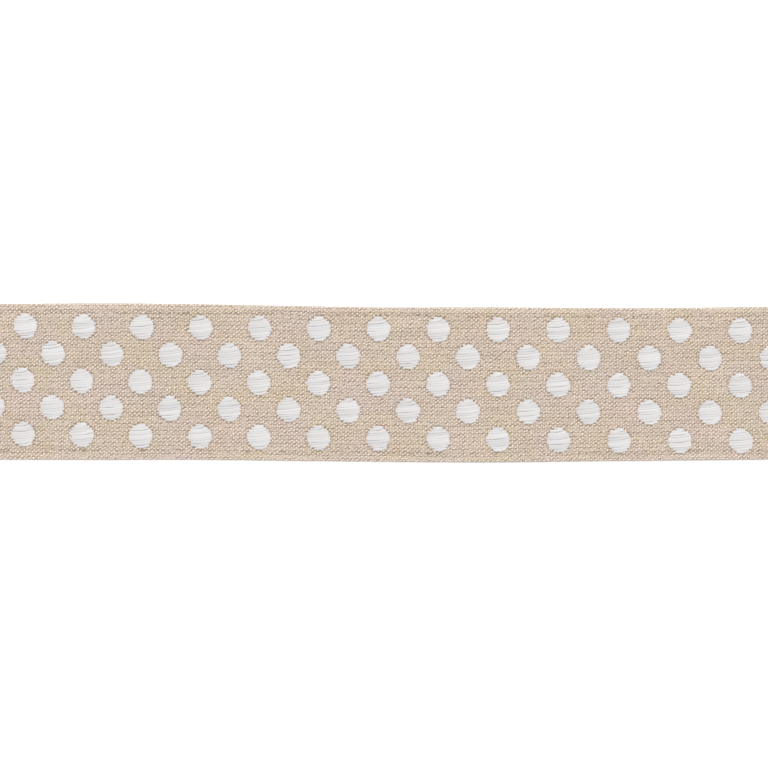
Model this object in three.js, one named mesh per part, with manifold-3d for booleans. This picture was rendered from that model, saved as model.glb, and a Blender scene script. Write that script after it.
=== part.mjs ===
// A cut length of woven, linen-coloured tape trim with rows of raised satin-stitched dots, lying flat.
// Millimetres. +X runs along the tape, +Y across it and +Z up from the surface that it lies on.
import * as THREE from "three";
import { mergeVertices } from "three/addons/utils/BufferGeometryUtils.js";
import Module from "manifold-3d";

const wasm = await Module();
wasm.setup();

// Cloth sizes
const TAPE_LENGTH = 242.4; // from one straight cut to the other
const CLOTH_THICKNESS = 1.0;
const SELVEDGE_THICKNESS = 0.7; // at the very edge, where the weave is beaten closer
const SELVEDGE_SLOPE = 0.6; // width over which the cloth thins towards its edge
const OUTLINE_STEPS = 30; // straight stretches along each edge

// How the tape lies, at even steps from its left cut to its right one.
// sway: how far its middle line lies to the +Y side. width: from selvedge to selvedge.
const LIE = [
  { sway: 0.2, width: 37.91 },
  { sway: 0.24, width: 38.04 },
  { sway: 0.32, width: 38.33 },
  { sway: 0.26, width: 38.11 },
  { sway: -0.09, width: 37.94 },
  { sway: -0.42, width: 37.79 },
  { sway: -0.49, width: 37.99 },
  { sway: -0.42, width: 37.58 },
  { sway: -0.32, width: 37.39 },
  { sway: -0.02, width: 37.47 },
  { sway: 0.17, width: 37.62 },
];

// Dots: five rows, and every other row stands half a column along
const DOT_RADIUS = 3.05;
const DOT_RISE = 0.3; // how far the stitches stand proud of the cloth
const DOT_SHOULDER_RADIUS = 2.4; // where the rounded rim turns into the flatter crown
const DOT_SHOULDER_RISE = 0.22;
const DOT_SEGMENTS = 16;
const DOT_ROOT = 0.4; // depth that a dot's solid reaches down into the cloth
const LAST_COLUMN = 8; // columns run from minus this one to this one
const ROW_BOW = 0.006; // rise of a row with the square of the column

// Where each row of dots was stitched, as the cloth crept a little differently under each one.
// x, y: place of its column 0. pitch: from column to column. stretch: growth of the pitch
// towards the right. lean: drop of the row from one column to the next.
const DOT_ROWS = [
  { x: -1.3, y: 13.14, pitch: 14.61, stretch: 0.03, lean: 0.096 },
  { x: -1.37, y: 6.4, pitch: 14.645, stretch: 0.028, lean: 0.107 },
  { x: -1.4, y: -0.27, pitch: 14.655, stretch: 0.023, lean: 0.11 },
  { x: -1.39, y: -6.85, pitch: 14.665, stretch: 0.023, lean: 0.122 },
  { x: -1.36, y: -13.67, pitch: 14.66, stretch: 0.026, lean: 0.142 },
];

// The sway and the width at a distance along the tape, on smooth curves through the table.
const swayCurve = new THREE.SplineCurve(LIE.map((row, i) => new THREE.Vector2(i, row.sway)));
const widthCurve = new THREE.SplineCurve(LIE.map((row, i) => new THREE.Vector2(i, row.width)));

function lieAt(along) {
  const share = along / TAPE_LENGTH + 0.5;
  return {
    sway: swayCurve.getPoint(share).y,
    width: widthCurve.getPoint(share).y,
  };
}

// The tape's cross-section at a station, counter-clockwise as seen against +X.
function sectionAt(along) {
  const { sway, width } = lieAt(along);
  const half = width / 2;
  return [
    [-half, 0],
    [half, 0],
    [half, SELVEDGE_THICKNESS],
    [half - SELVEDGE_SLOPE, CLOTH_THICKNESS],
    [SELVEDGE_SLOPE - half, CLOTH_THICKNESS],
    [-half, SELVEDGE_THICKNESS],
  ].map(([across, up]) => [along, sway + across, up]);
}

// The plain tape: its cross-section swept from cut to cut.
function tapeGeometry() {
  const positions = [];
  const triangles = [];
  let sides = 0;
  for (let step = 0; step <= OUTLINE_STEPS; step++) {
    const section = sectionAt((step / OUTLINE_STEPS - 0.5) * TAPE_LENGTH);
    sides = section.length;
    positions.push(...section.flat());
  }
  for (let step = 0; step < OUTLINE_STEPS; step++) {
    for (let side = 0; side < sides; side++) {
      const here = step * sides + side;
      const next = step * sides + ((side + 1) % sides);
      triangles.push(here, next, here + sides);
      triangles.push(next, next + sides, here + sides);
    }
  }
  const lastSection = OUTLINE_STEPS * sides;
  for (let side = 1; side < sides - 1; side++) {
    triangles.push(0, side + 1, side);
    triangles.push(lastSection, lastSection + side, lastSection + side + 1);
  }
  const geometry = new THREE.BufferGeometry();
  geometry.setAttribute("position", new THREE.Float32BufferAttribute(positions, 3));
  geometry.setIndex(triangles);
  return geometry;
}

// One dot: a low dome on +Z whose rim lies in the cloth's face, z = 0 here, over a straight root.
function dotGeometry() {
  const profile = [
    new THREE.Vector2(0, -DOT_ROOT),
    new THREE.Vector2(DOT_RADIUS, -DOT_ROOT),
    new THREE.Vector2(DOT_RADIUS, 0),
    new THREE.Vector2(DOT_SHOULDER_RADIUS, DOT_SHOULDER_RISE),
    new THREE.Vector2(0, DOT_RISE),
  ];
  return new THREE.LatheGeometry(profile, DOT_SEGMENTS).rotateX(Math.PI / 2);
}

// Every dot's centre on the cloth.
function dotPlaces() {
  const places = [];
  DOT_ROWS.forEach((row, index) => {
    const halfStep = index % 2 ? 0.5 : 0;
    for (let column = halfStep - LAST_COLUMN; column <= LAST_COLUMN; column++) {
      places.push({
        x: row.x + row.pitch * column + row.stretch * column ** 2,
        y: row.y - row.lean * column + ROW_BOW * column ** 2,
      });
    }
  });
  return places;
}

// A closed three.js geometry as a solid that can be joined.
function solidOf(geometry) {
  const bare = geometry.clone();
  bare.deleteAttribute("normal");
  bare.deleteAttribute("uv");
  const merged = mergeVertices(bare, 1e-4);
  return new wasm.Manifold(
    new wasm.Mesh({
      numProp: 3,
      vertProperties: merged.attributes.position.array,
      triVerts: new Uint32Array(merged.index.array),
    }),
  );
}

// A joined solid as a three.js geometry, stood with its base's middle on the origin.
function geometryOf(solid) {
  const { vertProperties, triVerts } = solid.getMesh();
  const geometry = new THREE.BufferGeometry();
  geometry.setAttribute("position", new THREE.BufferAttribute(vertProperties, 3));
  geometry.setIndex(new THREE.BufferAttribute(triVerts, 1));
  geometry.computeBoundingBox();
  const { min, max } = geometry.boundingBox;
  geometry.translate(-(min.x + max.x) / 2, -(min.y + max.y) / 2, -min.z);
  geometry.computeVertexNormals();
  return geometry;
}

// The tape with its dots, one piece as the stitches are sewn through the cloth.
function tape() {
  let solid = solidOf(tapeGeometry());
  for (const { x, y } of dotPlaces()) {
    solid = solid.add(solidOf(dotGeometry().translate(x, y, CLOTH_THICKNESS)));
  }
  const linen = new THREE.MeshStandardMaterial({ color: 0xcebeae, roughness: 0.9, metalness: 0 });
  const mesh = new THREE.Mesh(geometryOf(solid), linen);
  mesh.name = "tape";
  return mesh;
}

const trim = new THREE.Group();
trim.add(tape());

export default trim;
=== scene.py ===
"""Dotted tape trim: a cut length of woven linen tape with satin-stitched dots, dressed on its frame.

Metres, with +X along the tape, +Y across it and +Z up from the surface that it lies on.
"""

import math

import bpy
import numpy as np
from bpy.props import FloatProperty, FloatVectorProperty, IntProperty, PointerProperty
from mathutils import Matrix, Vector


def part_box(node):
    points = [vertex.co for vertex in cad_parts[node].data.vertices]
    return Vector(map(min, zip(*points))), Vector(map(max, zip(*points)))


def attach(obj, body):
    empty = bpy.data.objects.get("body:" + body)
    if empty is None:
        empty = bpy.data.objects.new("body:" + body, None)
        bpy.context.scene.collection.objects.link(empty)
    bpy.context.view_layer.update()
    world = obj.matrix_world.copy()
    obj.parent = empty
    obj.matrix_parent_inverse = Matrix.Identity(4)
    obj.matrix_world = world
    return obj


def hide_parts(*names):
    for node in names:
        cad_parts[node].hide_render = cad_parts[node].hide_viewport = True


bl_info = {
    "name": "Dotted Tape Trim",
    "version": (1, 0, 0),
    "blender": (4, 5, 0),
    "location": "3D View > Sidebar > Tape Trim",
    "description": "Weaves a flat tape trim and stitches its dots on a packed frame",
    "category": "Object",
}

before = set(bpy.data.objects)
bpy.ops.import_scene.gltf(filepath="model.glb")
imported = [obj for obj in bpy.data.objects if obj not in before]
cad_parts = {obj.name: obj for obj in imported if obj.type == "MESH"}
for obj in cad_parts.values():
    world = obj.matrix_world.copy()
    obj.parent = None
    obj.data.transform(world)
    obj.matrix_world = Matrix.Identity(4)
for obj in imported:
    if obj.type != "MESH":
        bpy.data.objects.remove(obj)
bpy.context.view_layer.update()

MM = 0.001
TAPE_LOW, TAPE_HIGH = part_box("tape")
SAME_HEIGHT = 0.01 * MM  # heights nearer to each other than this are one height
ALONG = np.array([1.0, 0.0, 0.0])  # the lengthwise threads' direction
ACROSS = np.array([0.0, 1.0, 0.0])  # the crosswise threads' direction


def linear(hex_colour):
    """An sRGB hex colour as the linear red, green, blue and alpha that Blender's sockets take."""
    parts = [int(hex_colour[i:i + 2], 16) / 255 for i in (1, 3, 5)]
    return [c / 12.92 if c <= 0.04045 else ((c + 0.055) / 1.055) ** 2.4 for c in parts] + [1.0]


class TapeClothSizes(bpy.types.PropertyGroup):
    """Thread counts and heights of the woven tape."""

    ends: IntProperty(
        name="Ends",
        description="Lengthwise threads from selvedge to selvedge",
        default=82,
        min=8,
    )
    pick_pitch: FloatProperty(
        name="Pick pitch",
        description="Distance from one crosswise thread to the next",
        default=0.575 * MM,
        min=0.1 * MM,
        unit="LENGTH",
        precision=6,
    )
    pick_lean: FloatProperty(
        name="Pick lean",
        description="How far the crosswise threads lean from square",
        default=math.radians(1.75),
        unit="ROTATION",
    )
    dot_rise: FloatProperty(
        name="Dot rise",
        description="Height of a dot's crown over the cloth's face",
        default=0.3 * MM,
        unit="LENGTH",
        precision=6,
    )
    relief: FloatProperty(
        name="Weave relief",
        description="Height of a lengthwise thread's crown over the cloth's mean face",
        default=0.06 * MM,
        unit="LENGTH",
        precision=6,
    )
    twist: FloatProperty(
        name="Twist",
        description="Sideways swing of a lengthwise thread that its twist gives each crown",
        default=0.07 * MM,
        unit="LENGTH",
        precision=6,
    )
    wander: FloatProperty(
        name="Wander",
        description="How far the threads stray from their even places",
        default=0.15 * MM,
        unit="LENGTH",
        precision=6,
    )
    selvedge_width: FloatProperty(
        name="Selvedge width",
        description="Width over which the cloth thins towards its edge",
        default=1.0 * MM,
        unit="LENGTH",
        precision=6,
    )
    selvedge_drop: FloatProperty(
        name="Selvedge drop",
        description="How much thinner the very edge is than the cloth",
        default=0.12 * MM,
        unit="LENGTH",
        precision=6,
    )


class TapeDotSizes(bpy.types.PropertyGroup):
    """The satin stitches of one dot."""

    radius: FloatProperty(
        name="Radius",
        description="Half the width of a dot",
        default=3.1 * MM,
        unit="LENGTH",
        precision=6,
    )
    half_height: FloatProperty(
        name="Half height",
        description="Half the height of the oval that the stitches end on",
        default=2.9 * MM,
        unit="LENGTH",
        precision=6,
    )
    levels: IntProperty(
        name="Needle levels",
        description="Rows of needle holes down each side of a dot",
        default=10,
        min=2,
    )
    level_pitch: FloatProperty(
        name="Level pitch",
        description="Distance from one row of needle holes to the next",
        default=0.595 * MM,
        unit="LENGTH",
        precision=6,
    )
    thread_width: FloatProperty(
        name="Thread width",
        description="Width of the flattened floss",
        default=0.7 * MM,
        unit="LENGTH",
        precision=6,
    )
    thread_height: FloatProperty(
        name="Thread height",
        description="Height of the flattened floss",
        default=0.15 * MM,
        unit="LENGTH",
        precision=6,
    )


class TapeColours(bpy.types.PropertyGroup):
    """The colours of the yarns. The four linen colours are one yarn lit and shaded: painted shade in
    its gaps and where a thread dives, painted light on its sides and crowns.
    """

    # Painted shade: the linen as it looks down in the gaps between the threads.
    linen_gap_shade: FloatVectorProperty(
        name="Linen gap",
        description="Linen down in the gaps between the threads",
        subtype="COLOR",
        size=4,
        default=linear("#9b897a"),
    )
    # The next two are the linen in painted shade where a thread dives and in painted light on its side.
    linen_shade: FloatVectorProperty(
        name="Linen shade",
        description="Linen where a thread dives",
        subtype="COLOR",
        size=4,
        default=linear("#c6b4a2"),
    )
    linen_light: FloatVectorProperty(
        name="Linen light",
        description="Linen on a thread's side",
        subtype="COLOR",
        size=4,
        default=linear("#e4d2c1"),
    )
    # Painted light: the linen as it looks on a thread's crown.
    linen_crown_light: FloatVectorProperty(
        name="Linen crown",
        description="Linen on a thread's crown",
        subtype="COLOR",
        size=4,
        default=linear("#fff0e0"),
    )
    # A paler, greyer linen in the loose yarn's ramp; on the selvedge turns it is mixed towards the gap
    # colour as painted shade.
    linen_turn: FloatVectorProperty(
        name="Linen turn",
        description="Linen rubbed pale where a thread turns at an edge or ends at a cut",
        subtype="COLOR",
        size=4,
        default=linear("#e3dad2"),
    )
    floss_light: FloatVectorProperty(
        name="Floss light",
        description="Bleached floss in its lightest strands",
        subtype="COLOR",
        size=4,
        default=linear("#eceae9"),
    )
    floss_shade: FloatVectorProperty(
        name="Floss shade",
        description="Bleached floss in its greyest strands",
        subtype="COLOR",
        size=4,
        default=linear("#dedbdb"),
    )


class TapeStageSettings(bpy.types.PropertyGroup):
    """Camera, floor and light."""

    view_width: FloatProperty(
        name="View width",
        description="Width of tape that the camera sees",
        default=188.2 * MM,
        unit="LENGTH",
        precision=6,
    )
    view_drop: FloatProperty(
        name="View drop",
        description="How far the camera stands to the -Y side of the tape's middle line",
        default=0.295 * MM,
        unit="LENGTH",
        precision=6,
    )
    lens: FloatProperty(
        name="Lens",
        description="Focal length in millimetres on a 36 mm sensor, long as for flat goods",
        default=200.0,
    )
    ambient: FloatProperty(
        name="Ambient light",
        description="Strength of the even light from all round",
        default=0.55,
    )
    key: FloatProperty(
        name="Key light",
        description="Share of light that the soft lamp adds on level cloth",
        default=0.45,
    )


def add_node(tree, kind, inputs=None, output=0, **settings):
    """Adds one node with its settings, and links or fills its inputs.

    Gives back one of its outputs, or the node itself where it has none.
    """
    made = tree.nodes.new(kind)
    for name, value in settings.items():
        setattr(made, name, value)
    for name, value in (inputs or {}).items():
        if isinstance(value, bpy.types.NodeSocket):
            tree.links.new(value, made.inputs[name])
        else:
            made.inputs[name].default_value = value
    return made.outputs[output] if len(made.outputs) else made


def set_stops(colour_socket, stops):
    """Gives the ramp that a colour socket belongs to its stops, as place and colour."""
    ramp = colour_socket.node.color_ramp
    while len(ramp.elements) < len(stops):
        ramp.elements.new(1.0)
    for element, (place, colour) in zip(ramp.elements, stops):
        element.position = place
        element.color = colour


def new_material(name):
    """A new material with an empty tree, given back with that tree."""
    material = bpy.data.materials.new(name)
    material.use_nodes = True
    tree = material.node_tree
    tree.nodes.clear()
    return material, tree


# Finishes of the fibres: linen is dry and matt, and mercerised floss has a low, silky gloss.
DRY_FIBRE = {"Roughness": 0.92, "Specular IOR Level": 0.25}
SILKY_FIBRE = {"Roughness": 0.5, "Specular IOR Level": 0.35}

# Weave waves: the regular light and dark of a plain weave, painted into the linen's colour as the light
# on its crowns and the shade in its gaps.
# Along and across are half turns for each thread, shift is in half turns too, and share is the contrast
# that the wave carries.
# The slash wave is the strongest, because the yarn's twist slants each crown, and the ends
# lie in pairs with a wider gap between two pairs.
WEAVE_WAVES = [
    {"name": "slash", "along": 1, "across": -1, "shift": 0, "share": 1.12},
    {"name": "backslash", "along": 1, "across": 1, "shift": 0, "share": 0.78},
    {"name": "paired ends", "along": 0, "across": 1, "shift": 0.5, "share": 0.56},
    {"name": "picks", "along": 2, "across": 0, "shift": 0, "share": 0.74},
    {"name": "ends", "along": 0, "across": 2, "shift": 0, "share": 0.84},
]

# Yarn noises: how unevenly linen is spun, as cycles along and across for each thread, how many
# finer noises are laid over the first, and the contrast that the noise carries.
YARN_NOISES = [
    {"name": "warp slubs", "along": 0.03, "across": 0.4, "detail": 2, "share": 1.4},
    {"name": "weft slubs", "along": 0.8, "across": 0.05, "detail": 0, "share": 0.3},
    {"name": "fibres", "along": 1.3, "across": 1.5, "detail": 0, "share": 2.8},
]
CROSSING_CHANCE = 0.5  # contrast between one crossing of threads and the next
TONE_REACH = 2.5  # contrast from the linen's middle tone to its gaps, and to its crowns
YARN_RELIEF = 0.03 * MM  # height of the finest relief, for each unit of the weave's contrast
NOISE_LOW = 0.25  # where the low and the high places of a noise mostly end
NOISE_HIGH = 0.75

# Threads stray from their even places, the weave shows more or less clearly, and the dye takes
# in patches. Each is a noise, with its cycles for each thread.
STRAY_CYCLES = 0.3
STRAY_THREADS = 0.9  # from one end of the noise to the other, and mostly a quarter of it each way
CLEARNESS_CYCLES = 0.45
DYE_CYCLES = 0.05  # patches about 20 threads wide, or 10 mm
DYE_DRIFT = (0.055, 0.042, 0.12)  # how far the patches stray in red, green and blue

# The selvedge: a broken line of gaps closes it, painted dark as shade, and its turned edge is painted a
# little lighter, as painted light. All but the two contrasts are counted in ends.
LINE_ENDS = 4.4  # from the edge to the line
LINE_STRAY = 0.7  # how far the line strays
GAP_CORE = 0.2  # from a gap's middle to where it starts to fade
GAP_RIM = 0.65  # from its middle to where it has faded out
GAP_PAINTED_SHADE = 5.0  # painted shade: contrast that the darkest gap loses
EDGE_ENDS = 3  # over which the edge lightens
EDGE_PAINTED_LIGHT = 0.8  # painted light: contrast that the edge gains

# The needle holes round a dot, painted dark: painted shade in the holes and in the floss's shadow at
# the dot's rim.
HOLE_SHIFT = -0.1 * MM  # how far the holes lie off the middle of their dot
HOLE_PULL = 0.35 * MM  # how far the stitches pull them outwards at the dot's top and bottom
HOLE_CORE = 0.1 * MM  # from a hole's middle to where it starts to fade
HOLE_RIM = 0.55 * MM  # from its middle to where it has faded out
HOLE_ASPECT = 2.8  # how many times as wide as it is high a hole is
HOLE_PAINTED_SHADE = 9.0  # painted shade: contrast that the darkest hole loses
MIDDLE_HOLES = 0.25  # how open, and so how deep in painted shade, the holes are half-way up a dot
END_HOLES = 1.3  # how open, and so how deep in painted shade, they are at its top and bottom
LEFT_RISE = 0.08 * MM  # how much higher the needle goes in on the left than on the right


def needle_hole_shade(tree, dots):
    """The painted shade in the needle holes round a dot, from 0 outside the holes.

    Places are in millimetres from the middle of the dot.
    """
    place = add_node(tree, "ShaderNodeUVMap", uv_map="from_dot")
    along = add_node(tree, "ShaderNodeSeparateXYZ", {0: place})
    left = add_node(tree, "ShaderNodeMath", {0: along, 1: 0.0}, operation="LESS_THAN")
    across = add_node(
        tree,
        "ShaderNodeMath",
        {0: left, 1: -LEFT_RISE / MM, 2: along.node.outputs[1]},
        operation="MULTIPLY_ADD",
    )
    pitch = dots.level_pitch / MM
    level = add_node(tree, "ShaderNodeMath", {0: across, 1: pitch}, operation="SNAP")
    level = add_node(tree, "ShaderNodeMath", {0: level, 1: pitch / 2}, operation="ADD")
    # On each level the stitches end where the oval does. The square of its width there is below
    # zero past its top and bottom.
    ratio = MM / dots.half_height
    square = add_node(tree, "ShaderNodeMath", {0: level, 1: ratio}, operation="MULTIPLY")
    square = add_node(tree, "ShaderNodeMath", {0: square, 1: 2.0}, operation="POWER")
    square = add_node(tree, "ShaderNodeMath", {0: 1.0, 1: square}, operation="SUBTRACT")
    chord = add_node(tree, "ShaderNodeMath", {0: square}, operation="SQRT")
    chord = add_node(tree, "ShaderNodeMath", {0: chord, 1: dots.radius / MM}, operation="MULTIPLY")
    pull = add_node(
        tree,
        "ShaderNodeMath",
        {0: square, 1: -HOLE_PULL / MM, 2: HOLE_PULL / MM},
        operation="MULTIPLY_ADD",
    )
    chord = add_node(tree, "ShaderNodeMath", {0: chord, 1: pull}, operation="ADD")
    along = add_node(tree, "ShaderNodeMath", {0: along, 1: -HOLE_SHIFT / MM}, operation="ADD")
    along = add_node(tree, "ShaderNodeMath", {0: along}, operation="ABSOLUTE")
    along = add_node(tree, "ShaderNodeMath", {0: along, 1: chord}, operation="SUBTRACT")
    across = add_node(tree, "ShaderNodeMath", {0: across, 1: level}, operation="SUBTRACT")
    across = add_node(tree, "ShaderNodeMath", {0: across, 1: HOLE_ASPECT}, operation="MULTIPLY")
    apart = add_node(tree, "ShaderNodeCombineXYZ", {0: along, 1: across})
    apart = add_node(tree, "ShaderNodeVectorMath", {0: apart}, output=1, operation="LENGTH")
    # Past the oval the holes fade out within a level.
    beyond = add_node(tree, "ShaderNodeMath", {0: square, 1: 0.0}, operation="MINIMUM")
    apart = add_node(
        tree, "ShaderNodeMath", {0: beyond, 1: beyond, 2: apart}, operation="MULTIPLY_ADD"
    )
    hole_shade = add_node(
        tree,
        "ShaderNodeMapRange",
        {
            "Value": apart,
            "From Min": HOLE_CORE / MM,
            "From Max": HOLE_RIM / MM,
            "To Min": 1.0,
            "To Max": 0.0,
        },
        interpolation_type="SMOOTHSTEP",
    )
    openness = add_node(
        tree,
        "ShaderNodeMath",
        {0: square, 1: MIDDLE_HOLES - END_HOLES, 2: END_HOLES},
        operation="MULTIPLY_ADD",
    )
    return add_node(tree, "ShaderNodeMath", {0: hole_shade, 1: openness}, operation="MULTIPLY")


def weave_light_and_shade(tree, place):
    """The painted light and shade that the weave's relief gives each place, counted in threads."""
    stray = add_node(
        tree,
        "ShaderNodeTexNoise",
        {"Vector": place, "Scale": STRAY_CYCLES, "Detail": 1.0},
        output=1,
        noise_dimensions="2D",
    )
    # A thread's middle is half a thread from its start. The last number turns the place's third
    # value to one, which carries the waves' shifts.
    start = -0.5 - STRAY_THREADS / 2
    crossing = add_node(
        tree,
        "ShaderNodeVectorMath",
        {0: stray, 1: (STRAY_THREADS, STRAY_THREADS, 0.0), 2: (start, start, 1.0)},
        operation="MULTIPLY_ADD",
    )
    crossing = add_node(tree, "ShaderNodeVectorMath", {0: place, 1: crossing}, operation="ADD")
    tone = 0.0
    for wave in WEAVE_WAVES:
        turns = [math.pi * wave[way] for way in ("along", "across", "shift")]
        phase = add_node(
            tree, "ShaderNodeVectorMath", {0: crossing, 1: turns}, output=1, operation="DOT_PRODUCT"
        )
        crest = add_node(tree, "ShaderNodeMath", {0: phase}, operation="COSINE")
        tone = add_node(
            tree, "ShaderNodeMath", {0: crest, 1: wave["share"], 2: tone}, operation="MULTIPLY_ADD"
        )
    return tone


def yarn_noises(tree, place, tone):
    """The contrast so far with that of the unevenly spun yarn added."""
    for noise in YARN_NOISES:
        stretched = add_node(
            tree,
            "ShaderNodeVectorMath",
            {0: place, 1: (noise["along"], noise["across"], 1.0)},
            operation="MULTIPLY",
        )
        cloud = add_node(
            tree,
            "ShaderNodeTexNoise",
            {"Vector": stretched, "Scale": 1.0, "Detail": noise["detail"]},
            noise_dimensions="2D",
        )
        tone = add_node(
            tree, "ShaderNodeMath", {0: cloud, 1: noise["share"], 2: tone}, operation="MULTIPLY_ADD"
        )
    return tone


def selvedge_gap_shade(tree, place, from_middle, clearness, ends):
    """The painted shade in the gaps of the selvedge's open line, as 1 in the middle of each and 0
    outside.

    from_middle is the distance from the tape's middle line, in ends.
    """
    from_line = add_node(
        tree,
        "ShaderNodeMath",
        {0: clearness, 1: LINE_STRAY, 2: from_middle},
        operation="MULTIPLY_ADD",
    )
    from_line = add_node(
        tree,
        "ShaderNodeMath",
        {0: from_line, 1: ends / 2 - LINE_ENDS + LINE_STRAY},
        operation="SUBTRACT",
    )
    from_pick = add_node(tree, "ShaderNodeSeparateXYZ", {0: place})
    from_pick = add_node(tree, "ShaderNodeMath", {0: from_pick}, operation="FRACT")
    from_pick = add_node(tree, "ShaderNodeMath", {0: from_pick, 1: 0.5}, operation="SUBTRACT")
    apart = add_node(tree, "ShaderNodeCombineXYZ", {0: from_pick, 1: from_line})
    apart = add_node(tree, "ShaderNodeVectorMath", {0: apart}, output=1, operation="LENGTH")
    return add_node(
        tree,
        "ShaderNodeMapRange",
        {
            "Value": apart,
            "From Min": GAP_CORE,
            "From Max": GAP_RIM,
            "To Min": 1.0,
            "To Max": 0.0,
        },
        interpolation_type="SMOOTHSTEP",
    )


def woven_linen(colours, ends, dots):
    """Woven linen: dry, matt and uneven, with painted light on its crowns, painted shade in its gaps
    and slubs along its threads.
    """
    material, tree = new_material("woven_linen")
    place = add_node(tree, "ShaderNodeUVMap", uv_map="weave")
    weave = weave_light_and_shade(tree, place)
    clearness = add_node(
        tree,
        "ShaderNodeTexNoise",
        {"Vector": place, "Scale": CLEARNESS_CYCLES, "Detail": 1.0},
        noise_dimensions="2D",
    )
    clearness = add_node(
        tree,
        "ShaderNodeMapRange",
        {
            "Value": clearness,
            "From Min": NOISE_LOW,
            "From Max": NOISE_HIGH,
            "To Min": 0.0,
            "To Max": 2.0,
        },
    )
    tone = add_node(tree, "ShaderNodeMath", {0: weave, 1: clearness}, operation="MULTIPLY")
    crossing = add_node(tree, "ShaderNodeVectorMath", {0: place}, operation="FLOOR")
    chance = add_node(
        tree, "ShaderNodeTexWhiteNoise", {"Vector": crossing}, noise_dimensions="2D"
    )
    tone = add_node(
        tree, "ShaderNodeMath", {0: chance, 1: CROSSING_CHANCE, 2: tone}, operation="MULTIPLY_ADD"
    )
    tone = yarn_noises(tree, place, tone)
    across = add_node(tree, "ShaderNodeSeparateXYZ", {0: place}, output=1)
    across = add_node(tree, "ShaderNodeMath", {0: across, 1: ends / 2}, operation="SUBTRACT")
    from_middle = add_node(tree, "ShaderNodeMath", {0: across}, operation="ABSOLUTE")
    # Painted light along the turned edge, coming in over its last few ends.
    edge_painted_light = add_node(
        tree,
        "ShaderNodeMapRange",
        {
            "Value": from_middle,
            "From Min": ends / 2 - EDGE_ENDS,
            "From Max": ends / 2,
            "To Max": EDGE_PAINTED_LIGHT,
        },
    )
    tone = add_node(tree, "ShaderNodeMath", {0: tone, 1: edge_painted_light}, operation="ADD")
    # Painted shade in the selvedge's line of gaps. The cube of a crossing's chance is mostly small, so
    # few of the line's gaps are wide open.
    gap_shade = selvedge_gap_shade(tree, place, from_middle, clearness, ends)
    rarity = add_node(tree, "ShaderNodeMath", {0: chance, 1: 3.0}, operation="POWER")
    gap_shade = add_node(tree, "ShaderNodeMath", {0: gap_shade, 1: rarity}, operation="MULTIPLY")
    tone = add_node(
        tree, "ShaderNodeMath", {0: gap_shade, 1: -GAP_PAINTED_SHADE, 2: tone}, operation="MULTIPLY_ADD"
    )
    # Painted shade in the needle holes round the dots and in the floss's shadow at their rims.
    hole_shade = needle_hole_shade(tree, dots)
    hole_shade = add_node(tree, "ShaderNodeMath", {0: hole_shade, 1: chance}, operation="MULTIPLY")
    tone = add_node(
        tree, "ShaderNodeMath", {0: hole_shade, 1: -HOLE_PAINTED_SHADE, 2: tone}, operation="MULTIPLY_ADD"
    )
    # The chance and the three noises have means of a half, so the tone's mean is half their shares.
    middle = 0.5 * (CROSSING_CHANCE + sum(noise["share"] for noise in YARN_NOISES))
    share = add_node(
        tree,
        "ShaderNodeMapRange",
        {"Value": tone, "From Min": middle - TONE_REACH, "From Max": middle + TONE_REACH},
    )
    # The ramp turns the contrast into colour: painted shade in the gaps and where a thread dives,
    # painted light on the sides and crowns, over the yarn's own uneven tone.
    ramp = add_node(tree, "ShaderNodeValToRGB", {"Fac": share})
    set_stops(
        ramp,
        [
            (0.0, colours.linen_gap_shade),
            (0.35, colours.linen_shade),
            (0.65, colours.linen_light),
            (1.0, colours.linen_crown_light),
        ],
    )
    patches = add_node(
        tree,
        "ShaderNodeTexNoise",
        {"Vector": place, "Scale": DYE_CYCLES, "Detail": 4.0},
        output=1,
        noise_dimensions="2D",
    )
    drift = add_node(
        tree,
        "ShaderNodeVectorMath",
        {0: patches, 1: DYE_DRIFT, 2: [-amount / 2 for amount in DYE_DRIFT]},
        operation="MULTIPLY_ADD",
    )
    colour = add_node(tree, "ShaderNodeVectorMath", {0: ramp, 1: drift}, operation="ADD")
    bump = add_node(
        tree,
        "ShaderNodeBump",
        {"Height": weave, "Distance": YARN_RELIEF, "Strength": 0.6},
    )
    shader = add_node(
        tree, "ShaderNodeBsdfPrincipled", {"Base Color": colour, "Normal": bump, **DRY_FIBRE}
    )
    add_node(tree, "ShaderNodeOutputMaterial", {"Surface": shader})
    return material


def yarn_material(name, stops, finish):
    """A yarn's material, in which each thread takes its own shade from the ramp."""
    material, tree = new_material(name)
    strand = add_node(tree, "ShaderNodeAttribute", output=2, attribute_name="strand")
    ramp = add_node(tree, "ShaderNodeValToRGB", {"Fac": strand})
    set_stops(ramp, stops)
    shader = add_node(tree, "ShaderNodeBsdfPrincipled", {"Base Color": ramp, **finish})
    add_node(tree, "ShaderNodeOutputMaterial", {"Surface": shader})
    return material


def satin_floss(colours):
    """Bleached, mercerised embroidery floss: smooth, with a low silky gloss and uneven strands."""
    stops = [(0.0, colours.floss_shade), (1.0, colours.floss_light)]
    return yarn_material("satin_floss", stops, SILKY_FIBRE)


def linen_yarn(colours):
    """Loose linen yarn: the tape's own thread, a little paler and greyer than in the weave."""
    stops = [(0.0, colours.linen_gap_shade), (0.6, colours.linen_turn), (1.0, colours.linen_crown_light)]
    return yarn_material("linen_yarn", stops, DRY_FIBRE)


def opal_board():
    """Opal acrylic board under the tape, lit a little from below, so that it shows as plain white."""
    material, tree = new_material("opal_board")
    shader = add_node(
        tree,
        "ShaderNodeBsdfPrincipled",
        {
            "Base Color": linear("#fafafa"),
            "Roughness": 0.9,
            "Specular IOR Level": 0.1,
            "Emission Color": linear("#ffffff"),
            "Emission Strength": 0.3,
        },
    )
    add_node(tree, "ShaderNodeOutputMaterial", {"Surface": shader})
    return material


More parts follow.
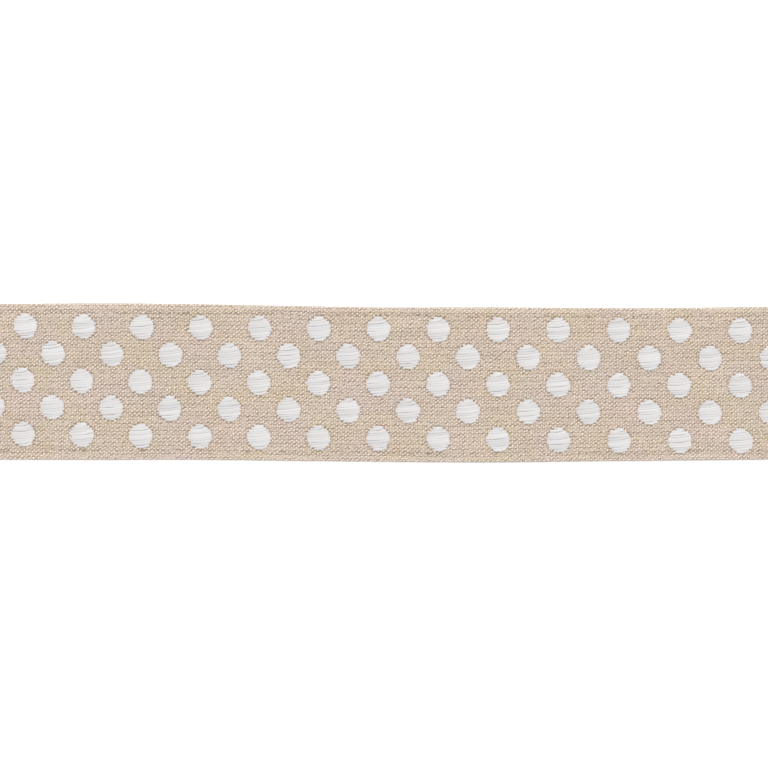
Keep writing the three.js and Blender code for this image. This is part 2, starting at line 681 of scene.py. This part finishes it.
def frame_corners():
    """The corners of the frame's tape, one in a row."""
    return np.array([vertex.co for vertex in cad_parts["tape"].data.vertices])


def tape_edges(along):
    """The Y of the tape's lower and upper edge at distances along it, read from its underside."""
    corners = frame_corners()
    foot = corners[corners[:, 2] < TAPE_LOW.z + SAME_HEIGHT]
    edges = []
    for side in (foot[foot[:, 1] < 0], foot[foot[:, 1] > 0]):
        order = np.argsort(side[:, 0])
        edges.append(np.interp(along, side[order, 0], side[order, 1]))
    return edges


def dot_middles():
    """The middle of every dot, which is the top point of its dome in the frame."""
    corners = frame_corners()
    tops = corners[corners[:, 2] > TAPE_HIGH.z - SAME_HEIGHT]
    middles = np.unique(np.round(tops[:, :2], 5), axis=0)
    if not len(middles):
        raise RuntimeError("the frame's tape has no dots")
    return middles


def level_heights(dots):
    """The Y of each needle level about a dot's middle."""
    return (np.arange(dots.levels) - (dots.levels - 1) / 2) * dots.level_pitch


def half_chords(dots):
    """Half the width of a dot at each needle level."""
    return dots.radius * np.sqrt(1 - (level_heights(dots) / dots.half_height) ** 2)


def mesh_object(name, points, faces, material):
    """A smooth-shaded mesh object with one material."""
    mesh = bpy.data.meshes.new(name)
    mesh.from_pydata(points, [], faces)
    mesh.validate()
    mesh.shade_smooth()
    mesh.materials.append(material)
    made = bpy.data.objects.new(name, mesh)
    bpy.context.scene.collection.objects.link(made)
    return made


def point_values(mesh, name, values):
    """Stores one number for each point of a mesh."""
    attribute = mesh.attributes.new(name, "FLOAT", "POINT")
    attribute.data.foreach_set("value", np.asarray(values, np.float32))


def corner_places(mesh, name, places):
    """Stores one place for each corner of a mesh's faces, as a UV map."""
    mesh.uv_layers.new(name=name).data.foreach_set("uv", places.astype(np.float32).ravel())


def threads_object(name, paths, side, width, height, corners, strands, material):
    """Closed threads of an oval section, one along each row of paths, joined in one mesh.

    side is the broad direction of the section, and corners counts its points. width is one number,
    or one for each step along a thread. strands gives each thread its own shade.
    """
    count, steps, _ = paths.shape
    along = np.gradient(paths, axis=1)
    along /= np.linalg.norm(along, axis=2, keepdims=True)
    broad = side - (side * along).sum(2, keepdims=True) * along
    broad /= np.linalg.norm(broad, axis=2, keepdims=True)
    tall = np.cross(along, broad)
    turn = 2 * np.pi * np.arange(corners) / corners
    ring = (
        np.cos(turn)[:, None] * broad[:, :, None] * width / 2
        + np.sin(turn)[:, None] * tall[:, :, None] * height / 2
    )
    points = (paths[:, :, None] + ring).reshape(-1, 3)
    index = np.arange(count * steps * corners).reshape(count, steps, corners)
    after = np.roll(index, -1, axis=2)
    quads = np.stack([index[:, :-1], after[:, :-1], after[:, 1:], index[:, 1:]], axis=3)
    faces = quads.reshape(-1, 4).tolist()
    faces += index[:, 0, ::-1].tolist()
    faces += index[:, -1].tolist()
    made = mesh_object(name, points.tolist(), faces, material)
    point_values(made.data, "strand", np.repeat(strands, steps * corners))
    return made


BOARD_SIZE = 3.0  # metres, well past every view
BOARD_GAP = 0.05 * MM  # keeps the board's face apart from the tape's
KEY_TILT = math.radians(25)  # from straight overhead
KEY_TURN = math.radians(165)  # the light comes from the far side and a little from the right
KEY_SOFTNESS = math.radians(40)  # width of the lamp as the tape sees it


class TAPETRIM_OT_stage(bpy.types.Operator):
    """Lay a pale board, set soft light and stand the camera straight over the tape"""

    bl_idname = "tapetrim.stage"
    bl_label = "Set Stage"

    def execute(self, context):
        settings = context.scene.tape_stage
        half = BOARD_SIZE / 2
        corners = [(-half, -half, 0), (half, -half, 0), (half, half, 0), (-half, half, 0)]
        board = mesh_object("board", corners, [(0, 1, 2, 3)], opal_board())
        board.location.z = TAPE_LOW.z - BOARD_GAP

        world = bpy.data.worlds.new("soft_room")
        world.use_nodes = True
        background = world.node_tree.nodes["Background"]
        background.inputs["Color"].default_value = linear("#ffffff")
        background.inputs["Strength"].default_value = settings.ambient
        context.scene.world = world
        context.scene.view_settings.view_transform = "Standard"

        lamp = bpy.data.lights.new("soft_key", "SUN")
        lamp.angle = KEY_SOFTNESS
        lamp.energy = settings.key * math.pi / math.cos(KEY_TILT)
        key = bpy.data.objects.new("soft_key", lamp)
        key.rotation_euler = (KEY_TILT, 0.0, KEY_TURN)
        context.scene.collection.objects.link(key)

        lens = bpy.data.cameras.new("overhead")
        lens.lens = settings.lens
        distance = settings.view_width * settings.lens / lens.sensor_width
        lens.clip_start = distance / 100
        lens.clip_end = distance * 10
        camera = bpy.data.objects.new("overhead", lens)
        camera.location = (0.0, -settings.view_drop, TAPE_HIGH.z + distance)
        context.scene.collection.objects.link(camera)
        context.scene.camera = camera
        return {"FINISHED"}


# The pad's rings from its foot to its crown, as a share of the dot's radius and a height over
# the cloth's face.
PAD_RINGS = [(0.86, -0.12 * MM), (0.9, -0.02 * MM), (0.78, 0.06 * MM), (0.45, 0.1 * MM)]
PAD_CORNERS = 28
PAD_PAINTED_SHADE = 0.3  # the pad's place on the floss's ramp, towards its grey end: painted shade where the pad shows between the stitches


class TAPETRIM_OT_padding(bpy.types.Operator):
    """Lay the low pad of understitches that fills each dot out"""

    bl_idname = "tapetrim.padding"
    bl_label = "Pad Dots"

    def execute(self, context):
        cloth = context.scene.tape_cloth
        dots = context.scene.tape_dots
        face = TAPE_HIGH.z - cloth.dot_rise
        turn = 2 * np.pi * np.arange(PAD_CORNERS) / PAD_CORNERS
        points = []
        faces = []
        for middle in dot_middles():
            start = len(points)
            for reach, height in PAD_RINGS:
                radius = reach * dots.radius
                for angle in turn:
                    x = middle[0] + radius * math.cos(angle)
                    y = middle[1] + radius * math.sin(angle)
                    points.append((x, y, face + height))
            crown = start + (len(PAD_RINGS) - 1) * PAD_CORNERS
            for ring in range(start, crown, PAD_CORNERS):
                for step in range(PAD_CORNERS):
                    here = ring + step
                    beside = ring + (step + 1) % PAD_CORNERS
                    faces.append((here, beside, beside + PAD_CORNERS, here + PAD_CORNERS))
            faces.append(tuple(start + step for step in reversed(range(PAD_CORNERS))))
            faces.append(tuple(crown + step for step in range(PAD_CORNERS)))
        floss = satin_floss(context.scene.tape_colours)
        made = mesh_object("dot_padding", points, faces, floss)
        point_values(made.data, "strand", np.full(len(points), PAD_PAINTED_SHADE))
        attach(made, "root")
        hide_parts("tape")
        return {"FINISHED"}


# The course of a stitch from left to right: the share of its length, how deep it goes into the
# cloth as a share of STITCH_DEPTH, and how far it has climbed. It climbs late and steeply.
STITCH_SHARE = np.array([0.0, 0.03, 0.1, 0.4, 0.58, 0.7, 0.82, 0.92, 0.97, 1.0])
STITCH_SUNK = np.array([1.0, 0.5, 0.12, 0.0, 0.0, 0.0, 0.0, 0.06, 0.4, 1.0])
STITCH_CLIMB = np.array([0.0, 0.0, 0.0, 0.08, 0.2, 0.38, 0.64, 0.74, 0.85, 1.0])
# The floss is pulled narrower where it goes in on the left and spreads to the right.
STITCH_SPREAD = 0.91 + 0.18 * STITCH_SHARE
STITCH_DEPTH = 0.3 * MM  # how deep its very ends go into the cloth
STITCH_SHIFT = np.array([-0.05, -0.15]) * MM  # how far its left and right ends lie off the oval
END_STRAY = np.array([0.18, 0.11]) * MM  # how unevenly stitches end on the left and the right
LEVEL_STRAY = 0.05 * MM  # how unevenly the needle keeps to its levels
STITCH_BOW = 0.03 * MM  # how far a stitch bows sideways
STITCH_SETTLING = 0.06 * MM  # how deep the loosest stitch settles into its dot
RIM_HEIGHT = 0.5  # a dot's height at its rim, as a share of its height in the middle
LEAST_HEIGHT = 0.3  # the same share for a stitch that ends past the rim


class TAPETRIM_OT_dots(bpy.types.Operator):
    """Stitch every dot in flat satin floss, each stitch climbing from one level of holes to the next"""

    bl_idname = "tapetrim.dots"
    bl_label = "Stitch Dots"

    def execute(self, context):
        cloth = context.scene.tape_cloth
        dots = context.scene.tape_dots
        rng = np.random.default_rng(83)
        face = TAPE_HIGH.z - cloth.dot_rise
        levels = level_heights(dots)
        chords = half_chords(dots)
        # Each stitch climbs to the next level's hole. A level one closes the dot above and below.
        stitches = [(low, low + 1) for low in range(dots.levels - 1)]
        stitches += [(0, 0), (dots.levels - 1, dots.levels - 1)]
        paths = []
        for middle in dot_middles():
            for low, high in stitches:
                ends = np.array([-chords[low], chords[high]]) + STITCH_SHIFT
                ends = ends + rng.normal(0, 1, 2) * END_STRAY
                rise = np.array([levels[low] + LEFT_RISE / 2, levels[high]])
                rise = rise + rng.normal(0, LEVEL_STRAY, 2)
                x = ends[0] + STITCH_SHARE * (ends[1] - ends[0])
                y = rise[0] + STITCH_CLIMB * (rise[1] - rise[0])
                y = y + rng.normal(0, STITCH_BOW) * np.sin(np.pi * STITCH_SHARE)
                dome = 1 - (1 - RIM_HEIGHT) * (x ** 2 + y ** 2) / dots.radius ** 2
                top = face + cloth.dot_rise * np.maximum(dome, LEAST_HEIGHT)
                top = top - rng.uniform(0, STITCH_SETTLING)
                z = top - dots.thread_height / 2 - STITCH_DEPTH * STITCH_SUNK
                paths.append(np.stack([x + middle[0], y + middle[1], z], axis=1))
        paths = np.array(paths)
        made = threads_object(
            "satin_dots",
            paths,
            side=ACROSS,
            width=dots.thread_width * STITCH_SPREAD[:, None, None],
            height=dots.thread_height,
            corners=8,
            strands=rng.uniform(0, 1, len(paths)),
            material=bpy.data.materials["satin_floss"],
        )
        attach(made, "root")
        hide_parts("tape")
        return {"FINISHED"}


# The course of a stitch on the back from left to right: its place as a share of the half chord,
# and how deep it goes into the cloth as a share of BACK_DEPTH.
BACK_SHARE = np.array([-1.0, -0.93, 0.93, 1.0])
BACK_SUNK = np.array([1.0, 0.0, 0.0, 1.0])
BACK_RISE = 0.05 * MM  # how far the stitches on the back hold the cloth off the table
BACK_WIDTH = 0.9  # of a stitch, as a share of the level pitch
BACK_HEIGHT = 0.1 * MM
BACK_DEPTH = 0.2 * MM  # how deep the ends of a stitch go into the cloth
BACK_STRAY = 0.05 * MM  # how unevenly the stitches lie lengthwise
BACK_SLANT = 0.03 * MM  # how unevenly each of their ends keeps to its level


class TAPETRIM_OT_backs(bpy.types.Operator):
    """Lay the lower thread under every dot, one flat level stitch between each pair of holes"""

    bl_idname = "tapetrim.backs"
    bl_label = "Stitch Backs"

    def execute(self, context):
        dots = context.scene.tape_dots
        rng = np.random.default_rng(38)
        paths = []
        for middle in dot_middles():
            for level, chord in zip(level_heights(dots), half_chords(dots)):
                x = middle[0] + BACK_SHARE * chord + rng.normal(0, BACK_STRAY)
                y = middle[1] + level + rng.normal(0, BACK_SLANT, 2)[[0, 0, 1, 1]]
                z = TAPE_LOW.z + BACK_HEIGHT / 2 + BACK_DEPTH * BACK_SUNK
                paths.append(np.stack([x, y, z], axis=1))
        paths = np.array(paths)
        made = threads_object(
            "back_stitches",
            paths,
            side=ACROSS,
            width=BACK_WIDTH * dots.level_pitch,
            height=BACK_HEIGHT,
            corners=6,
            strands=rng.uniform(0, 1, len(paths)),
            material=bpy.data.materials["satin_floss"],
        )
        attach(made, "root")
        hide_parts("tape")
        return {"FINISHED"}


TURN_WIDTH = 0.95  # of the crosswise thread where it turns, as a share of the pick pitch
TURN_HEIGHT = 0.2 * MM
TURN_STEPS = 6
TURN_DEPTH = 0.12 * MM  # how far in from the edge it starts to turn
TURN_STRAY = 0.06 * MM  # how far the shortest turn stays behind the edge
TURN_SWING = 0.34  # how far it swings up and down, as a share of the edge's thickness
TURN_SWAY = 0.25  # how far it sways along the edge, as a share of the pick pitch
TURN_PAINTED_SHADES = (0.35, 0.6)  # its places on the linen yarn's ramp, low and grey: painted shade on the turns' lit side


class TAPETRIM_OT_selvedges(bpy.types.Operator):
    """Turn the crosswise thread round both edges, side by side along each of them"""

    bl_idname = "tapetrim.selvedges"
    bl_label = "Turn Selvedges"

    def execute(self, context):
        cloth = context.scene.tape_cloth
        rng = np.random.default_rng(21)
        length = TAPE_HIGH.x - TAPE_LOW.x
        pitch = cloth.pick_pitch
        # The turns keep clear of both cuts.
        middles = TAPE_LOW.x + np.arange(0.75 * pitch, length - 0.5 * pitch, pitch)
        edges = tape_edges(middles)
        thickness = TAPE_HIGH.z - cloth.dot_rise - cloth.selvedge_drop
        turn = np.linspace(-0.5 * np.pi, 0.5 * np.pi, TURN_STEPS)
        paths = []
        for side, edge in ((-1, edges[0]), (1, edges[1])):
            reach = TURN_DEPTH + rng.uniform(-TURN_STRAY, 0.0, len(middles))
            x = middles[:, None] + side * TURN_SWAY * pitch * np.sin(turn)
            y = edge[:, None] + side * (reach[:, None] * np.cos(turn) - TURN_DEPTH)
            z = np.broadcast_to((0.5 + TURN_SWING * np.sin(turn)) * thickness, y.shape)
            paths.append(np.stack([x, y, z], axis=2))
        paths = np.concatenate(paths)
        made = threads_object(
            "selvedge_turns",
            paths,
            side=ALONG,
            width=TURN_WIDTH * pitch,
            height=TURN_HEIGHT,
            corners=6,
            strands=rng.uniform(*TURN_PAINTED_SHADES, len(paths)),
            material=linen_yarn(context.scene.tape_colours),
        )
        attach(made, "root")
        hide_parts("tape")
        return {"FINISHED"}


FRAY_WIDTH = 0.34 * MM
FRAY_HEIGHT = 0.26 * MM
FRAY_STEPS = 4
FRAY_REACH = (0.15 * MM, 0.6 * MM)  # how far the shortest and the longest end stand out
FRAY_DEPTH = 0.3 * MM  # how far inside the cloth they start
FRAY_SLANT = 0.12  # how unevenly they point sideways, as a share of their reach
FRAY_LEVELS = (0.45, 0.75)  # where they leave the cut, as a share of the cloth's thickness
FRAY_DROOP = 0.2  # how far the loosest end hangs down, as a share of the same
FRAY_SHADES = (0.3, 1.0)  # their places on the linen yarn's ramp of shades


class TAPETRIM_OT_cuts(bpy.types.Operator):
    """Let the ends of the lengthwise threads stand out a little at both cuts"""

    bl_idname = "tapetrim.cuts"
    bl_label = "Fray Cuts"

    def execute(self, context):
        cloth = context.scene.tape_cloth
        rng = np.random.default_rng(5)
        face = TAPE_HIGH.z - cloth.dot_rise
        share = np.linspace(0, 1, FRAY_STEPS)
        # Every lengthwise thread but the two outermost, as a share of the tape's width.
        across = (np.arange(1, cloth.ends - 1) + 0.5) / cloth.ends
        paths = []
        for side, cut in ((-1, TAPE_LOW.x), (1, TAPE_HIGH.x)):
            low, high = tape_edges(np.array([cut]))
            for root in low[0] + across * (high[0] - low[0]):
                reach = rng.uniform(*FRAY_REACH)
                x = cut + side * (share * (reach + FRAY_DEPTH) - FRAY_DEPTH)
                y = root + rng.normal(0, FRAY_SLANT) * reach * share ** 2
                height = face * rng.uniform(*FRAY_LEVELS)
                z = height - rng.uniform(0.0, FRAY_DROOP) * face * share ** 2
                paths.append(np.stack([x, y, z], axis=1))
        paths = np.array(paths)
        made = threads_object(
            "cut_thread_ends",
            paths,
            side=ACROSS,
            width=FRAY_WIDTH,
            height=FRAY_HEIGHT,
            corners=6,
            strands=rng.uniform(*FRAY_SHADES, len(paths)),
            material=linen_yarn(context.scene.tape_colours),
        )
        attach(made, "root")
        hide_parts("tape")
        return {"FINISHED"}


EDGE_INSET = 0.1 * MM  # how far the cloth's own edge stands behind its turned threads
EDGE_BULGE = 0.04 * MM  # how far that edge is rounded out half-way up
LEAN_PICKS = 12  # picks from a cut over which the crosswise threads come to their lean
CALM_THREADS = 4  # threads from an edge or a cut over which the others come to their wander
WANDER_KNOTS = (22, 5)  # random places of the wander along the tape and across it
SLANT_SHARE = 0.6  # how much of a crown's height slants with the twist of the yarn
# The cross-section's points on the edges and the underside, as shares of the tape's width.
BACK_PLACES = np.array([1.0, 1.0, 0.75, 0.5, 0.25, 0.0, 0.0])
NO_DOT = 9.0  # millimetres from a dot's middle, where no needle has been


def from_nearest_dot(points, corners):
    """Where each face's corners lie from the middle of the dot nearest to the face, in millimetres."""
    middles = dot_middles()
    centres = points[corners, :2].mean(axis=1)
    apart = np.hypot(*(centres[:, None] - middles).transpose(2, 0, 1))
    nearest = middles[apart.argmin(axis=1)]
    return (points[corners, :2] - nearest[:, None]) / MM


def soft_noise(rng, shape, knots):
    """Smooth random numbers about 0, with a spread a little under 1, for a grid of that shape."""
    values = rng.normal(size=knots)
    for axis in (0, 1):
        # The last place stays just short of the last knot, so every place has a knot after it.
        place = np.linspace(0, knots[axis] - 1.001, shape[axis])
        before = place.astype(int)
        ease = (1 - np.cos(np.pi * (place - before))) / 2
        ease = ease[:, None] if axis == 0 else ease
        values = (
            values.take(before, axis) * (1 - ease) + values.take(before + 1, axis) * ease
        )
    return values


def cloth_face(cloth, low, high, pick, end):
    """The points of the cloth's face, a column for each place in pick and a row for each in end.

    low and high are the Y of the two edges in each column.
    """
    rng = np.random.default_rng(60)
    picks = pick[-1]
    from_cut = np.minimum(pick, picks - pick)
    lean = math.tan(cloth.pick_lean) * np.clip(from_cut / LEAN_PICKS, 0, 1)
    y = low[:, None] + end / cloth.ends * (high - low)[:, None]
    x = (TAPE_LOW.x + pick / picks * (TAPE_HIGH.x - TAPE_LOW.x))[:, None] + lean[:, None] * y
    free = np.clip(np.minimum(end, cloth.ends - end) / CALM_THREADS, 0, 1)
    free = free * np.clip(from_cut / CALM_THREADS, 0, 1)[:, None]
    x = x + cloth.wander * soft_noise(rng, x.shape, WANDER_KNOTS) * free
    y = y + cloth.wander * soft_noise(rng, x.shape, WANDER_KNOTS) * free

    # A crown at every crossing, and none on the two edges.
    along, across = np.meshgrid(np.pi * (pick - 0.5), np.pi * (end - 0.5), indexing="ij")
    inside = np.ones(len(end))
    inside[[0, -1]] = 0.0
    crown = SLANT_SHARE * np.cos(along - across)
    crown = (crown + (1 - SLANT_SHARE) * np.cos(along + across)) * inside
    y = y + cloth.twist * np.sin(along) * np.cos(across) * inside
    from_edge = np.minimum(y - low[:, None], high[:, None] - y) / cloth.selvedge_width
    thin = cloth.selvedge_drop * np.clip(1 - from_edge, 0, 1) ** 2
    z = TAPE_HIGH.z - cloth.dot_rise - thin + cloth.relief * crown
    return np.stack([x, y, z], axis=2)


def cloth_back(cloth, low, high, ends_x):
    """The rest of each cross-section, round by the upper edge, the underside and the lower edge.

    ends_x is the X of each column's first and last point.
    """
    foot = TAPE_LOW.z + BACK_RISE
    wall = 0.5 * (TAPE_HIGH.z - cloth.dot_rise - cloth.selvedge_drop)
    height = np.array([wall, foot, foot, foot, foot, foot, wall])
    bulge = EDGE_BULGE * np.array([1, 0, 0, 0, 0, 0, -1])
    x = ends_x[:, :1] * (1 - BACK_PLACES) + ends_x[:, 1:] * BACK_PLACES
    y = low[:, None] + BACK_PLACES * (high - low)[:, None] + bulge
    return np.stack([x, y, np.broadcast_to(height, y.shape)], axis=2)


class TAPETRIM_OT_cloth(bpy.types.Operator):
    """Weave the tape's cloth: a closed sheet whose face has a crown for every crossing of threads"""

    bl_idname = "tapetrim.cloth"
    bl_label = "Weave Cloth"

    def execute(self, context):
        cloth = context.scene.tape_cloth
        length = TAPE_HIGH.x - TAPE_LOW.x
        picks = round(length / cloth.pick_pitch)
        # A column of points for every half pick, and a row for every end and one on each edge.
        pick = np.arange(2 * picks + 1) / 2
        end = np.concatenate([[0.0], np.arange(cloth.ends) + 0.5, [cloth.ends]])
        low, high = tape_edges(TAPE_LOW.x + pick / picks * length)
        low = low + EDGE_INSET
        high = high - EDGE_INSET
        face = cloth_face(cloth, low, high, pick, end)
        back = cloth_back(cloth, low, high, face[:, [0, -1], 0])
        grid = np.concatenate([face, back], axis=1)
        columns, around, _ = grid.shape
        index = np.arange(columns * around).reshape(columns, around)
        after = np.roll(index, -1, axis=1)
        quads = np.stack([index[:-1], index[1:], after[1:], after[:-1]], axis=2)
        faces = quads.reshape(-1, 4).tolist()
        faces.append(index[0].tolist())
        faces.append(index[-1, ::-1].tolist())
        made = mesh_object(
            "tape_cloth",
            grid.reshape(-1, 3).tolist(),
            faces,
            woven_linen(context.scene.tape_colours, cloth.ends, context.scene.tape_dots),
        )
        mesh = made.data
        corners = np.empty(len(mesh.loops), np.int32)
        mesh.loops.foreach_get("vertex_index", corners)
        thread = np.concatenate([end, BACK_PLACES * cloth.ends])
        threads = np.stack([np.repeat(pick, around), np.tile(thread, columns)], axis=1)
        corner_places(mesh, "weave", threads[corners])
        # The two end faces come after all the quads and keep away from the dots.
        places = np.full((len(mesh.loops), 2), NO_DOT)
        quad_corners = corners[:quads.size].reshape(-1, 4)
        beside_dots = from_nearest_dot(grid.reshape(-1, 3), quad_corners)
        places[:quads.size] = beside_dots.reshape(-1, 2)
        corner_places(mesh, "from_dot", places)
        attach(made, "root")
        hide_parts("tape")
        return {"FINISHED"}


class TAPETRIM_PT_panel(bpy.types.Panel):
    """Lists the tape trim's sizes, colours and steps"""

    bl_idname = "TAPETRIM_PT_panel"
    bl_label = "Tape Trim"
    bl_space_type = "VIEW_3D"
    bl_region_type = "UI"
    bl_category = "Tape Trim"

    def draw(self, context):
        layout = self.layout
        for name, group in SETTINGS.items():
            box = layout.box()
            for prop in group.__annotations__:
                box.prop(getattr(context.scene, name), prop)
        for operator in OPERATORS:
            layout.operator(operator.bl_idname)


SETTINGS = {
    "tape_cloth": TapeClothSizes,
    "tape_dots": TapeDotSizes,
    "tape_colours": TapeColours,
    "tape_stage": TapeStageSettings,
}
OPERATORS = [
    TAPETRIM_OT_stage,
    TAPETRIM_OT_padding,
    TAPETRIM_OT_dots,
    TAPETRIM_OT_backs,
    TAPETRIM_OT_selvedges,
    TAPETRIM_OT_cuts,
    TAPETRIM_OT_cloth,
]


def register():
    for group in (*SETTINGS.values(), *OPERATORS, TAPETRIM_PT_panel):
        bpy.utils.register_class(group)
    for name, group in SETTINGS.items():
        setattr(bpy.types.Scene, name, PointerProperty(type=group))


def unregister():
    for name in SETTINGS:
        delattr(bpy.types.Scene, name)
    for group in (TAPETRIM_PT_panel, *reversed(OPERATORS), *reversed(SETTINGS.values())):
        bpy.utils.unregister_class(group)


def main():
    register()
    bpy.ops.tapetrim.stage()
    bpy.ops.tapetrim.padding()
    bpy.ops.tapetrim.dots()
    bpy.ops.tapetrim.backs()
    bpy.ops.tapetrim.selvedges()
    bpy.ops.tapetrim.cuts()
    bpy.ops.tapetrim.cloth()


if __name__ == "__main__":
    main()
